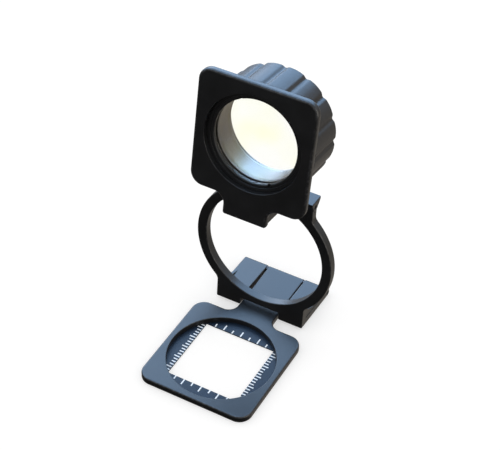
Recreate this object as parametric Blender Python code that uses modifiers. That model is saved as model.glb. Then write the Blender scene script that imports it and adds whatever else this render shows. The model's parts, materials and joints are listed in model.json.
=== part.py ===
"""Three-fold jeweller's loupe with a focusing barrel and a one-inch scale window.

Frame: metres, +Z up. The origin lies on the underside of the base plate, at the
middle of its rear shoulder. +X is to the right and +Y points rearward.

Three local frames hang on each other, each on its own hinge or optical axis:
  upright  x right, y rearward, z up, from the front bottom edge of the ring frame
  head     x right, y rearward, z up, from the front lower edge of the lens plate
  optics   z rearward along the optical axis, from the front face of the lens plate
"""
import math

import bmesh
import bpy
from mathutils import Matrix, Vector

MM = 0.001

# Base plate, its window and the scale plate under it
BASE_WIDTH = 40.0 * MM
BASE_LENGTH = 40.3 * MM
BASE_THICKNESS = 2.54 * MM
BASE_CORNER = 4.5 * MM
WINDOW = 25.4 * MM
WINDOW_CENTRE_Y = -20.1 * MM
RECESS_RADIUS = 18.0 * MM
SCALE_THICKNESS = 0.45 * MM
SCALE_RADIUS = 19.0 * MM
SCALE_SEAT_DEPTH = 0.55 * MM
TONGUE_HALF_WIDTH = 6.9 * MM
TONGUE_END_Y = 26.4 * MM
SHOULDER_FILLET = 3.6 * MM

# Hinges
PIN_RADIUS = 0.70 * MM
PIN_CLEARANCE = 0.06 * MM
PIN_INSET = 0.2 * MM
HINGE_END_RADIUS = 1.3 * MM
BASE_AXIS_HEIGHT = 1.35 * MM
UPRIGHT_LEAN = math.radians(3.5)
HEAD_TILT = math.radians(5.7)
WASHER_RADIUS = 1.15 * MM
WASHER_BORE = 0.80 * MM
WASHER_THICKNESS = 0.20 * MM

# Upright ring frame, with two foot prongs behind it
RING_CENTRE_HEIGHT = 26.8 * MM
RING_INNER = 21.3 * MM
RING_OUTER = 24.67 * MM
RING_DEPTH = 3.08 * MM
UPRIGHT_HEIGHT = 53.1 * MM
BLOCK_HALF_WIDTH = 16.3 * MM
BLOCK_FILLET = 3.0 * MM
FOOT_THICKNESS = 2.75 * MM
GUSSET_INNER = 14.9 * MM
GUSSET_OUTER = 16.1 * MM
GUSSET_SINK = 0.5 * MM
GUSSET_LENGTH = 13.0 * MM
GUSSET_BEND = 2.2 * MM
GUSSET_STEP = 1.4 * MM
GUSSET_HEIGHT = 6.5 * MM
GUSSET_RADIUS = 8.0 * MM
FOOT_AXIS_Y = 19.65 * MM
SIDE_GAP = 0.4 * MM
TONGUE_SLOT_ROOF = 2.8 * MM
LUG_HALF_WIDTH = 16.5 * MM
LUG_FRONT = -1.0 * MM
LUG_REAR = 4.9 * MM
LUG_FRONT_FOOT = 50.4 * MM
LUG_REAR_FOOT = 49.9 * MM
LUG_BAND = 1.0 * MM
HEAD_AXIS_Y = 1.3 * MM
HEAD_AXIS_HEIGHT = 50.9 * MM

# Head: lens plate with a neck and an arm back to its hinge
HEAD_WIDTH = 40.0 * MM
HEAD_HEIGHT = 41.0 * MM
HEAD_THICKNESS = 2.5 * MM
HEAD_CORNER = 4.5 * MM
NECK_HALF_WIDTH = 7.65 * MM
NECK_LENGTH = 7.0 * MM
NECK_CORNER = 0.8 * MM
ARM_HALF_WIDTH = 7.6 * MM
ARM_TOP = -2.55 * MM
ARM_BOTTOM = -5.85 * MM
ARM_OVERHANG = 1.7 * MM
HEAD_AXIS_BACK = 16.9 * MM
HEAD_AXIS_DROP = 4.2 * MM
BARREL_HOLE = 16.5 * MM

# Focusing barrel: radii and places along the optical axis
TURN_GAP = 0.05 * MM
BARREL_FRONT = 1.9 * MM
BARREL_REAR = 15.6 * MM
BARREL_SPIGOT = 16.42 * MM
BARREL_FLANGE = 17.6 * MM
FLANGE_REAR = 3.6 * MM
BARREL_OUTER = 16.75 * MM
BARREL_BORE = 15.95 * MM
BARREL_MOUTH = 15.35 * MM
MOUTH_REAR = 3.4 * MM
STOP_RING_INNER = 14.1 * MM
STOP_RING_FRONT = 2.1 * MM
STOP_RING_REAR = 3.3 * MM
KNOB_RADIUS = 19.4 * MM
KNOB_GROOVE_DEPTH = 0.7 * MM
KNOB_LOBES = 16
KNOB_GROOVE_ANGLE = math.radians(4.0)
KNOB_SHOULDER = 0.105 * MM
KNOB_FRONT = 3.8 * MM
KNOB_REAR = 18.4 * MM
KNOB_BORE = 17.95 * MM
SLEEVE_OUTER = 17.9 * MM
SLEEVE_BORE = 16.85 * MM
SLEEVE_REAR = 15.55 * MM
CHANNEL_RADIUS = 17.5 * MM
CHANNEL_FRONT = 6.8 * MM
CHANNEL_REAR = 11.4 * MM
END_RING_FLANGE = 17.5 * MM
END_RING_SPIGOT = 15.88 * MM
END_RING_INNER = 15.4 * MM
END_RING_MOUTH = 16.6 * MM
END_RING_CHAMFER = 15.3 * MM
END_RING_FRONT = 14.9 * MM
END_RING_SEAT = 15.7 * MM
END_RING_REAR = 16.7 * MM
BAND_OUTER = 17.3 * MM
BAND_FRONT = 12.6 * MM
BAND_REAR = 13.6 * MM
GRIP_SCREW_RADIUS = 0.7 * MM
GRIP_SCREW_Z = 14.6 * MM
GRIP_SCREW_INNER = 17.25 * MM
GRIP_SCREW_OUTER = 18.45 * MM
GRIP_SCREWS = 2
GRIP_SCREW_TURN = math.radians(46.4)

# Lens cell, which slides in the barrel and is guided by three screws in slots
CELL_OUTER = 15.88 * MM
CELL_BORE = 15.10 * MM
CELL_FRONT = 4.6 * MM
CELL_REAR = 13.6 * MM
FOCUS_TRAVEL = 1.2 * MM
GUIDE_SCREWS = 3
GUIDE_SCREW_RADIUS = 0.7 * MM
GUIDE_SCREW_Z = 9.1 * MM
GUIDE_SCREW_INNER = 15.45 * MM
GUIDE_SCREW_OUTER = 17.3 * MM
GUIDE_SLOT_HALF_WIDTH = 0.8 * MM
GUIDE_SLOT_GAP = 0.2 * MM
LENS_RADIUS = 15.0 * MM
LENS_CURVE = 55.0 * MM
LENS_EDGE = 1.2 * MM
OBJECTIVE_FRONT = 5.6 * MM
EYE_REAR = 12.6 * MM
RETAINER_OUTER = 15.05 * MM
OBJECTIVE_RETAINER_INNER = 14.2 * MM
EYE_RETAINER_INNER = 14.6 * MM
RETAINER_THICKNESS = 0.9 * MM
SPACER_INNER = 14.5 * MM
SEAT_GAP = 0.05 * MM
SPACER_SEAT = 1.45 * MM

# Facets
TURN_STEPS = 48
LENS_RINGS = 5
CORNER_STEPS = 5
ROUND_STEPS = 24
SMOOTH_ANGLE = math.radians(30.0)
WELD_DISTANCE = 0.001 * MM
OVERCUT = 1.0 * MM


def clear_scene():
    """Remove every object of the open scene."""
    for item in list(bpy.data.objects):
        bpy.data.objects.remove(item, do_unlink=True)


def new_collection(name):
    """Add a collection to the scene."""
    collection = bpy.data.collections.new(name)
    bpy.context.scene.collection.children.link(collection)
    return collection


def new_material(name, colour, roughness, metallic, transmission=0.0):
    """Make a Principled material."""
    material = bpy.data.materials.new(name)
    material.use_nodes = True
    shader = material.node_tree.nodes["Principled BSDF"]
    shader.inputs["Base Color"].default_value = (*colour, 1.0)
    shader.inputs["Roughness"].default_value = roughness
    shader.inputs["Metallic"].default_value = metallic
    shader.inputs["Transmission Weight"].default_value = transmission
    return material


def new_empty(name, location, rotation_x, parent=None):
    """Add an empty that carries a joint or optical axis."""
    empty = bpy.data.objects.new(name, None)
    empty.empty_display_size = 5.0 * MM
    empty.location = location
    empty.rotation_euler = (rotation_x, 0.0, 0.0)
    empty.parent = parent
    parts.objects.link(empty)
    return empty


def add_object(name, mesh, material=None, parent=None, location=(0.0, 0.0, 0.0)):
    """Put a mesh in the parts collection, or among the cutters if it has no material."""
    item = bpy.data.objects.new(name, mesh)
    item.location = location
    item.parent = parent
    if material is None:
        item.hide_render = True
        item.display_type = "WIRE"
        cutters.objects.link(item)
    else:
        mesh.materials.append(material)
        parts.objects.link(item)
    return item


def boolean(target, tool, operation="DIFFERENCE"):
    """Cut the target with the tool, or join the tool to it."""
    modifier = target.modifiers.new(f"{operation.lower()}_{tool.name}", "BOOLEAN")
    modifier.operation = operation
    modifier.solver = "EXACT"
    modifier.object = tool


def arc(centre, radius, start, end, steps):
    """Points on an arc, both ends included, angles in radians."""
    angles = [start + (end - start) * i / steps for i in range(steps + 1)]
    return [(centre[0] + radius * math.cos(a), centre[1] + radius * math.sin(a)) for a in angles]


def circle(radius, steps, centre=(0.0, 0.0)):
    """Points of a closed circle."""
    return arc(centre, radius, 0.0, 2.0 * math.pi, steps)[:-1]


def rounded(corners):
    """Closed outline through corners (x, y, radius), each rounded by an arc."""
    points = []
    for i, (x, y, radius) in enumerate(corners):
        here = Vector((x, y))
        if radius == 0.0:
            points.append((x, y))
            continue
        back = (Vector(corners[i - 1][:2]) - here).normalized()
        ahead = (Vector(corners[(i + 1) % len(corners)][:2]) - here).normalized()
        half = back.angle(ahead) / 2.0
        centre = here + (back + ahead).normalized() * radius / math.sin(half)
        start = here + back * radius / math.tan(half) - centre
        turn = -start.angle_signed(here + ahead * radius / math.tan(half) - centre)
        begin = math.atan2(start.y, start.x)
        points.extend(arc(centre, radius, begin, begin + turn, CORNER_STEPS))
    return points


def flat_mesh(name, outlines, thickness, placement=Matrix()):
    """Extrude flat outlines, the first outside and the rest holes, from z = 0 upward."""
    curve = bpy.data.curves.new(name, "CURVE")
    curve.dimensions = "2D"
    curve.fill_mode = "BOTH"
    curve.extrude = thickness / 2.0
    for points in outlines:
        spline = curve.splines.new("POLY")
        spline.points.add(len(points) - 1)
        spline.use_cyclic_u = True
        for point, (x, y) in zip(spline.points, points):
            point.co = (x, y, 0.0, 1.0)
    holder = bpy.data.objects.new(name, curve)
    parts.objects.link(holder)
    evaluated = holder.evaluated_get(bpy.context.evaluated_depsgraph_get())
    mesh = bpy.data.meshes.new_from_object(evaluated)
    bpy.data.objects.remove(holder, do_unlink=True)
    bpy.data.curves.remove(curve)
    mesh.materials.clear()
    return cleaned(mesh, placement @ Matrix.Translation((0.0, 0.0, thickness / 2.0)))


def cleaned(mesh, placement):
    """Weld a mesh, point its faces outward and move it."""
    work = bmesh.new()
    work.from_mesh(mesh)
    bmesh.ops.remove_doubles(work, verts=work.verts, dist=WELD_DISTANCE)
    bmesh.ops.recalc_face_normals(work, faces=work.faces)
    bmesh.ops.transform(work, matrix=placement, verts=work.verts)
    work.to_mesh(mesh)
    work.free()
    return mesh


def box_mesh(name, low, high):
    """A box between two corners."""
    work = bmesh.new()
    bmesh.ops.create_cube(work, size=1.0)
    size = Vector(high) - Vector(low)
    bmesh.ops.scale(work, vec=size, verts=work.verts)
    bmesh.ops.translate(work, vec=(Vector(high) + Vector(low)) / 2.0, verts=work.verts)
    mesh = bpy.data.meshes.new(name)
    work.to_mesh(mesh)
    work.free()
    return mesh


def rod_mesh(name, radius, start, end, placements, steps=ROUND_STEPS):
    """Rods along local z from start to end, one for each placement."""
    work = bmesh.new()
    for placement in placements:
        middle = Matrix.Translation((0.0, 0.0, (start + end) / 2.0))
        bmesh.ops.create_cone(
            work, cap_ends=True, segments=steps, radius1=radius, radius2=radius,
            depth=end - start, matrix=placement @ middle)
    mesh = bpy.data.meshes.new(name)
    work.to_mesh(mesh)
    work.free()
    return mesh


def shade_round(item):
    """Smooth the round sides and keep the edges crisp."""
    item.data.shade_smooth()
    item.data.set_sharp_from_angle(angle=SMOOTH_ANGLE)


def turned(name, profile, material):
    """A ring or tube: a closed profile (radius, z) turned round the optical axis."""
    mesh = bpy.data.meshes.new(name)
    count = len(profile)
    edges = [(i, (i + 1) % count) for i in range(count)]
    mesh.from_pydata([(radius, 0.0, z) for radius, z in profile], edges, [])
    item = add_object(name, mesh, material, optics)
    screw = item.modifiers.new("turn", "SCREW")
    screw.steps = TURN_STEPS
    screw.render_steps = TURN_STEPS
    screw.use_merge_vertices = True
    screw.merge_threshold = WELD_DISTANCE
    return item


def ring_profile(outer, inner, front, rear):
    """Rectangular ring section, run down its outer side first."""
    return [(outer, rear), (outer, front), (inner, front), (inner, rear)]


def spokes(count, phase=0.0):
    """Placements that point local z outward from the optical axis at equal angles."""
    tip = Matrix.Rotation(math.radians(90.0), 4, "Y")
    return [Matrix.Rotation(phase + 2.0 * math.pi * i / count, 4, "Z") @ tip for i in range(count)]


ALONG_X = Matrix.Rotation(math.radians(90.0), 4, "Y")
OUTLINE_TO_XZ = Matrix.Rotation(math.radians(90.0), 4, "X")
OUTLINE_TO_YZ = Matrix(((0, 0, 1, 0), (1, 0, 0, 0), (0, 1, 0, 0), (0, 0, 0, 1)))


def hinge_hole(target, name, parent, location, half_length):
    """Cut a running hole for a hinge pin along x."""
    mesh = rod_mesh(name, PIN_RADIUS + PIN_CLEARANCE, -half_length, half_length, [ALONG_X])
    boolean(target, add_object(name, mesh, None, parent, location))


def make_base():
    """Base plate with its tongue, and the scale plate pressed into its underside."""
    half = BASE_WIDTH / 2.0
    outline = rounded([
        (-half, -BASE_LENGTH, BASE_CORNER),
        (half, -BASE_LENGTH, BASE_CORNER),
        (half, 0.0, BASE_CORNER),
        (TONGUE_HALF_WIDTH, 0.0, SHOULDER_FILLET),
        (TONGUE_HALF_WIDTH, BASE_AXIS_Y, 0.0),
        (-TONGUE_HALF_WIDTH, BASE_AXIS_Y, 0.0),
        (-TONGUE_HALF_WIDTH, 0.0, SHOULDER_FILLET),
        (-half, 0.0, BASE_CORNER),
    ])
    plate = add_object("base_plate", flat_mesh("base_plate", [outline], BASE_THICKNESS), black_enamel)
    end = rounded([
        (BASE_AXIS_Y - OVERCUT, 0.0, 0.0),
        (TONGUE_END_Y, 0.0, HINGE_END_RADIUS - TURN_GAP),
        (TONGUE_END_Y, BASE_THICKNESS, HINGE_END_RADIUS - TURN_GAP),
        (BASE_AXIS_Y - OVERCUT, BASE_THICKNESS, 0.0),
    ])
    shift = Matrix.Translation((-TONGUE_HALF_WIDTH, 0.0, 0.0))
    knuckle = flat_mesh("tongue_end", [end], 2.0 * TONGUE_HALF_WIDTH, shift @ OUTLINE_TO_YZ)
    boolean(plate, add_object("tongue_end", knuckle), "UNION")

    centre = (0.0, WINDOW_CENTRE_Y, 0.0)
    recess = rod_mesh("recess_cut", RECESS_RADIUS, -OVERCUT, BASE_THICKNESS + OVERCUT,
                      [Matrix()], TURN_STEPS)
    boolean(plate, add_object("recess_cut", recess, None, None, centre))
    seat = rod_mesh("scale_seat_cut", SCALE_RADIUS + TURN_GAP, -OVERCUT, SCALE_SEAT_DEPTH,
                    [Matrix()], TURN_STEPS)
    boolean(plate, add_object("scale_seat_cut", seat, None, None, centre))
    axis = (0.0, BASE_AXIS_Y, BASE_AXIS_HEIGHT)
    hinge_hole(plate, "tongue_hole", None, axis, TONGUE_HALF_WIDTH + OVERCUT)

    side = WINDOW / 2.0
    window = [(-side, -side), (side, -side), (side, side), (-side, side)]
    disc = flat_mesh("scale_plate", [circle(SCALE_RADIUS, TURN_STEPS), window], SCALE_THICKNESS)
    lift = SCALE_SEAT_DEPTH - SCALE_THICKNESS - TURN_GAP
    add_object("scale_plate", disc, scale_blue, None, (0.0, WINDOW_CENTRE_Y, lift))


def frame_outline():
    """Front view of the upright: a ring with a block at the bottom and at the top."""
    reach = RING_OUTER + BLOCK_FILLET
    fillet_x = BLOCK_HALF_WIDTH + BLOCK_FILLET
    drop = math.sqrt(reach ** 2 - fillet_x ** 2)
    tangent = math.atan2(drop, fillet_x)
    low = (fillet_x, RING_CENTRE_HEIGHT - drop)
    high = (fillet_x, RING_CENTRE_HEIGHT + drop)
    right = [(BLOCK_HALF_WIDTH, 0.0)]
    right += arc(low, BLOCK_FILLET, math.pi, math.pi - tangent, CORNER_STEPS)
    right += arc((0.0, RING_CENTRE_HEIGHT), RING_OUTER, -tangent, tangent, ROUND_STEPS)[1:-1]
    right += arc(high, BLOCK_FILLET, math.pi + tangent, math.pi, CORNER_STEPS)
    right += [(BLOCK_HALF_WIDTH, UPRIGHT_HEIGHT)]
    return right + [(-x, y) for x, y in reversed(right)]


def make_upright():
    """Ring frame with foot prongs and lugs, the two hinge pins and their washers."""
    place = (0.0, -FOOT_AXIS_Y, -BASE_AXIS_HEIGHT)
    ring_hole = circle(RING_INNER, TURN_STEPS, (0.0, RING_CENTRE_HEIGHT))
    deep = Matrix.Translation((0.0, RING_DEPTH, 0.0)) @ OUTLINE_TO_XZ
    ring = flat_mesh("ring_frame", [frame_outline(), ring_hole], RING_DEPTH, deep)
    frame = add_object("ring_frame", ring, black_enamel, base_hinge, place)

    foot_end = FOOT_AXIS_Y + HINGE_END_RADIUS
    foot = rounded([
        (OVERCUT, 0.0, 0.0),
        (foot_end, 0.0, HINGE_END_RADIUS),
        (foot_end, FOOT_THICKNESS, HINGE_END_RADIUS),
        (OVERCUT, FOOT_THICKNESS, 0.0),
    ])
    middle = RING_DEPTH / 2.0
    lug = [
        (middle, LUG_REAR_FOOT - middle),
        (RING_DEPTH, LUG_REAR_FOOT),
        (LUG_REAR, UPRIGHT_HEIGHT - LUG_BAND),
        (LUG_REAR, UPRIGHT_HEIGHT),
        (LUG_FRONT, UPRIGHT_HEIGHT),
        (LUG_FRONT, UPRIGHT_HEIGHT - LUG_BAND),
        (0.0, LUG_FRONT_FOOT),
    ]
    gusset = rounded([
        (middle, FOOT_THICKNESS - GUSSET_SINK, 0.0),
        (RING_DEPTH + GUSSET_LENGTH, FOOT_THICKNESS - GUSSET_SINK, 0.0),
        (RING_DEPTH + GUSSET_BEND, FOOT_THICKNESS + GUSSET_STEP, GUSSET_RADIUS),
        (middle, FOOT_THICKNESS + GUSSET_HEIGHT, 0.0),
    ])
    bars = (
        ("foot_prongs", foot, -BLOCK_HALF_WIDTH, BLOCK_HALF_WIDTH),
        ("right_gusset", gusset, GUSSET_INNER, GUSSET_OUTER),
        ("left_gusset", gusset, -GUSSET_OUTER, -GUSSET_INNER),
        ("top_lugs", lug, -LUG_HALF_WIDTH, LUG_HALF_WIDTH),
    )
    for name, outline, left_end, right_end in bars:
        shift = Matrix.Translation((left_end, 0.0, 0.0))
        bar = flat_mesh(name, [outline], right_end - left_end, shift @ OUTLINE_TO_YZ)
        boolean(frame, add_object(name, bar, None, base_hinge, place), "UNION")

    tongue_slot = TONGUE_HALF_WIDTH + SIDE_GAP
    slot = box_mesh("tongue_slot", (-tongue_slot, -OVERCUT, -OVERCUT),
                    (tongue_slot, foot_end + OVERCUT, TONGUE_SLOT_ROOF))
    boolean(frame, add_object("tongue_slot", slot, None, base_hinge, place))
    open_top = box_mesh("foot_gap", (-tongue_slot, RING_DEPTH, -OVERCUT),
                        (tongue_slot, foot_end + OVERCUT, FOOT_THICKNESS + OVERCUT))
    boolean(frame, add_object("foot_gap", open_top, None, base_hinge, place))
    arm_slot = NECK_HALF_WIDTH + SIDE_GAP
    gap = box_mesh("arm_slot",
                   (-arm_slot, LUG_FRONT - OVERCUT, RING_CENTRE_HEIGHT + RING_INNER / 2.0),
                   (arm_slot, LUG_REAR + OVERCUT, UPRIGHT_HEIGHT + OVERCUT))
    boolean(frame, add_object("arm_slot", gap, None, base_hinge, place))
    reach = BLOCK_HALF_WIDTH + OVERCUT
    head_axis = (0.0, HEAD_AXIS_Y - FOOT_AXIS_Y, HEAD_AXIS_HEIGHT - BASE_AXIS_HEIGHT)
    hinge_hole(frame, "foot_hole", base_hinge, (0.0, 0.0, 0.0), reach)
    hinge_hole(frame, "lug_hole", base_hinge, head_axis, reach)

    pin_half = BLOCK_HALF_WIDTH - PIN_INSET
    for name, axis in (("base_hinge_pin", (0.0, 0.0, 0.0)), ("head_hinge_pin", head_axis)):
        pin = rod_mesh(name, PIN_RADIUS, -pin_half, pin_half, [ALONG_X])
        shade_round(add_object(name, pin, steel, base_hinge, axis))
    make_washers("base_hinge_washer", (0.0, 0.0, 0.0), TONGUE_HALF_WIDTH)
    make_washers("head_hinge_washer", head_axis, NECK_HALF_WIDTH)


def make_washers(name, axis, inner_face):
    """Flat friction washers, one in the gap on each side of a hinge's middle leaf."""
    start = inner_face + (SIDE_GAP - WASHER_THICKNESS) / 2.0
    washer = [circle(WASHER_RADIUS, ROUND_STEPS), circle(WASHER_BORE, ROUND_STEPS)]
    for side, offset in (("right", start), ("left", -start - WASHER_THICKNESS)):
        shift = Matrix.Translation((offset, 0.0, 0.0)) @ OUTLINE_TO_YZ
        mesh = flat_mesh(f"{name}_{side}", washer, WASHER_THICKNESS, shift)
        add_object(f"{name}_{side}", mesh, steel, base_hinge, axis)


def make_lens_plate():
    """Lens plate with its neck, and the arm that runs back to the head hinge."""
    place = (0.0, -HEAD_AXIS_BACK, HEAD_AXIS_DROP)
    half = HEAD_WIDTH / 2.0
    outline = rounded([
        (-half, HEAD_HEIGHT, HEAD_CORNER),
        (-half, 0.0, HEAD_CORNER),
        (-NECK_HALF_WIDTH, 0.0, SHOULDER_FILLET),
        (-NECK_HALF_WIDTH, -NECK_LENGTH, NECK_CORNER),
        (NECK_HALF_WIDTH, -NECK_LENGTH, NECK_CORNER),
        (NECK_HALF_WIDTH, 0.0, SHOULDER_FILLET),
        (half, 0.0, HEAD_CORNER),
        (half, HEAD_HEIGHT, HEAD_CORNER),
    ])
    hole = circle(BARREL_HOLE, TURN_STEPS, (0.0, HEAD_HEIGHT / 2.0))
    deep = Matrix.Translation((0.0, HEAD_THICKNESS, 0.0)) @ OUTLINE_TO_XZ
    plate = add_object("lens_plate", flat_mesh("lens_plate", [outline, hole], HEAD_THICKNESS, deep),
                       black_enamel, head_hinge, place)
    arm_end = HEAD_AXIS_BACK + ARM_OVERHANG
    arm = rounded([
        (OVERCUT, ARM_BOTTOM, 0.0),
        (arm_end, ARM_BOTTOM, HINGE_END_RADIUS),
        (arm_end, ARM_TOP, HINGE_END_RADIUS),
        (OVERCUT, ARM_TOP, 0.0),
    ])
    shift = Matrix.Translation((-ARM_HALF_WIDTH, 0.0, 0.0))
    bar = flat_mesh("plate_arm", [arm], 2.0 * ARM_HALF_WIDTH, shift @ OUTLINE_TO_YZ)
    boolean(plate, add_object("plate_arm", bar, None, head_hinge, place), "UNION")
    hinge_hole(plate, "arm_hole", head_hinge, (0.0, 0.0, 0.0), NECK_HALF_WIDTH + OVERCUT)


def make_barrel():
    """Barrel fixed in the lens plate, its front stop ring and the ring that keeps the knob on."""
    barrel = turned("barrel", [
        (BARREL_SPIGOT, BARREL_FRONT),
        (BARREL_MOUTH, BARREL_FRONT),
        (BARREL_MOUTH, MOUTH_REAR),
        (BARREL_BORE, MOUTH_REAR),
        (BARREL_BORE, BARREL_REAR),
        (BARREL_OUTER, BARREL_REAR),
        (BARREL_OUTER, FLANGE_REAR),
        (BARREL_FLANGE, FLANGE_REAR),
        (BARREL_FLANGE, HEAD_THICKNESS + SEAT_GAP),
        (BARREL_SPIGOT, HEAD_THICKNESS + SEAT_GAP),
    ], black_enamel)
    half = FOCUS_TRAVEL + GUIDE_SCREW_RADIUS + GUIDE_SLOT_GAP
    for i, spoke in enumerate(spokes(GUIDE_SCREWS)):
        slot = box_mesh(f"guide_slot_{i}", (-half, -GUIDE_SLOT_HALF_WIDTH, BARREL_BORE - OVERCUT),
                        (half, GUIDE_SLOT_HALF_WIDTH, BARREL_OUTER + OVERCUT))
        slot.transform(Matrix.Translation((0.0, 0.0, GUIDE_SCREW_Z)) @ spoke)
        boolean(barrel, add_object(f"guide_slot_{i}", slot, None, optics))
    turned("front_stop_ring", ring_profile(BARREL_MOUTH - TURN_GAP, STOP_RING_INNER,
                                           STOP_RING_FRONT, STOP_RING_REAR), black_enamel)
    turned("knob_retaining_ring", [
        (END_RING_FLANGE, END_RING_REAR),
        (END_RING_FLANGE, END_RING_SEAT),
        (END_RING_SPIGOT, END_RING_SEAT),
        (END_RING_SPIGOT, END_RING_FRONT),
        (END_RING_INNER, END_RING_FRONT),
        (END_RING_INNER, END_RING_CHAMFER),
        (END_RING_MOUTH, END_RING_REAR),
    ], black_enamel)


def knob_outline():
    """Outer outline of the knob: wide round lobes parted by narrow grooves."""
    points = []
    pitch = 2.0 * math.pi / KNOB_LOBES
    valley = KNOB_RADIUS - KNOB_GROOVE_DEPTH
    shoulder = KNOB_RADIUS - KNOB_SHOULDER
    stations = [
        (-KNOB_GROOVE_ANGLE / 3.0, valley),
        (KNOB_GROOVE_ANGLE / 3.0, valley),
        (KNOB_GROOVE_ANGLE, shoulder),
        (pitch / 2.0, KNOB_RADIUS),
        (pitch - KNOB_GROOVE_ANGLE, shoulder),
    ]
    for i in range(KNOB_LOBES):
        middle = i * pitch
        for offset, radius in stations:
            angle = middle + offset
            points.append((radius * math.cos(angle), radius * math.sin(angle)))
    return points


def make_focus_ring():
    """Knob, the drive sleeve inside it, their grub screws and the friction band."""
    rise = Matrix.Translation((0.0, 0.0, KNOB_FRONT))
    outlines = [knob_outline(), circle(KNOB_BORE, TURN_STEPS)]
    knob = add_object("focus_knob", flat_mesh("focus_knob", outlines, KNOB_REAR - KNOB_FRONT, rise),
                      knob_black, optics)
    sleeve = turned("drive_sleeve", [
        (SLEEVE_OUTER, SLEEVE_REAR),
        (SLEEVE_OUTER, KNOB_FRONT),
        (SLEEVE_BORE, KNOB_FRONT),
        (SLEEVE_BORE, CHANNEL_FRONT),
        (CHANNEL_RADIUS, CHANNEL_FRONT),
        (CHANNEL_RADIUS, CHANNEL_REAR),
        (SLEEVE_BORE, CHANNEL_REAR),
        (SLEEVE_BORE, BAND_FRONT - TURN_GAP),
        (BAND_OUTER + TURN_GAP, BAND_FRONT - TURN_GAP),
        (BAND_OUTER + TURN_GAP, BAND_REAR + TURN_GAP),
        (SLEEVE_BORE, BAND_REAR + TURN_GAP),
        (SLEEVE_BORE, SLEEVE_REAR),
    ], brass)
    turned("friction_band", ring_profile(BAND_OUTER, SLEEVE_BORE, BAND_FRONT, BAND_REAR), nylon)
    seats = [Matrix.Translation((0.0, 0.0, GRIP_SCREW_Z)) @ s for s in spokes(GRIP_SCREWS, GRIP_SCREW_TURN)]
    hole = rod_mesh("grip_screw_holes", GRIP_SCREW_RADIUS + TURN_GAP, GRIP_SCREW_INNER - TURN_GAP,
                    KNOB_RADIUS + OVERCUT, seats)
    tool = add_object("grip_screw_holes", hole, None, optics)
    boolean(knob, tool)
    boolean(sleeve, tool)
    make_screws("grip_screw", GRIP_SCREW_RADIUS, GRIP_SCREW_INNER, GRIP_SCREW_OUTER, seats)


def make_screws(name, radius, inner, outer, seats):
    """Radial screws, one for each seat, from the inner to the outer radius."""
    for i, seat in enumerate(seats):
        screw = rod_mesh(f"{name}_{i + 1}", radius, inner, outer, [seat])
        shade_round(add_object(f"{name}_{i + 1}", screw, steel, optics))


def lens_profile(flat_z, direction):
    """Plano-convex lens section, run from top to bottom; direction is the way its crown points."""
    sag = LENS_CURVE - math.sqrt(LENS_CURVE ** 2 - LENS_RADIUS ** 2)
    points = [(0.0, flat_z), (LENS_RADIUS, flat_z)]
    for i in range(LENS_RINGS + 1):
        radius = LENS_RADIUS * (1.0 - i / LENS_RINGS)
        rise = LENS_EDGE + sag - (LENS_CURVE - math.sqrt(LENS_CURVE ** 2 - radius ** 2))
        points.append((radius, flat_z + direction * rise))
    if direction > 0.0:
        points.reverse()
    return points


def make_lens(name, flat_z, direction):
    """A plano-convex lens, its section open on the axis so that it turns to a closed solid."""
    mesh = bpy.data.meshes.new(name)
    profile = lens_profile(flat_z, direction)
    edges = [(i, i + 1) for i in range(len(profile) - 1)]
    mesh.from_pydata([(radius, 0.0, z) for radius, z in profile], edges, [])
    item = add_object(name, mesh, glass, optics)
    screw = item.modifiers.new("turn", "SCREW")
    screw.steps = TURN_STEPS
    screw.render_steps = TURN_STEPS
    screw.use_merge_vertices = True
    screw.merge_threshold = WELD_DISTANCE
    shade_round(item)


def make_lens_carriage():
    """Lens cell with two lenses, a spacer, two retaining rings and three guide screws."""
    cell = turned("lens_cell", ring_profile(CELL_OUTER, CELL_BORE, CELL_FRONT, CELL_REAR),
                  satin_aluminium)
    seats = [Matrix.Translation((0.0, 0.0, GUIDE_SCREW_Z)) @ s for s in spokes(GUIDE_SCREWS)]
    hole = rod_mesh("guide_screw_holes", GUIDE_SCREW_RADIUS + TURN_GAP,
                    GUIDE_SCREW_INNER - TURN_GAP, CELL_OUTER + OVERCUT, seats)
    boolean(cell, add_object("guide_screw_holes", hole, None, optics))
    make_screws("guide_screw", GUIDE_SCREW_RADIUS, GUIDE_SCREW_INNER, GUIDE_SCREW_OUTER, seats)
    make_lens("objective_lens", OBJECTIVE_FRONT, 1.0)
    make_lens("eye_lens", EYE_REAR, -1.0)
    turned("lens_spacer", ring_profile(LENS_RADIUS, SPACER_INNER,
                                       OBJECTIVE_FRONT + SPACER_SEAT,
                                       EYE_REAR - SPACER_SEAT), satin_aluminium)
    turned("objective_retaining_ring",
           ring_profile(RETAINER_OUTER, OBJECTIVE_RETAINER_INNER,
                        OBJECTIVE_FRONT - SEAT_GAP - RETAINER_THICKNESS,
                        OBJECTIVE_FRONT - SEAT_GAP), satin_aluminium)
    turned("eye_retaining_ring",
           ring_profile(RETAINER_OUTER, EYE_RETAINER_INNER, EYE_REAR + SEAT_GAP,
                        EYE_REAR + SEAT_GAP + RETAINER_THICKNESS), satin_aluminium)


clear_scene()
parts = new_collection("jewelers_loupe")
cutters = new_collection("loupe_cutters")

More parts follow.
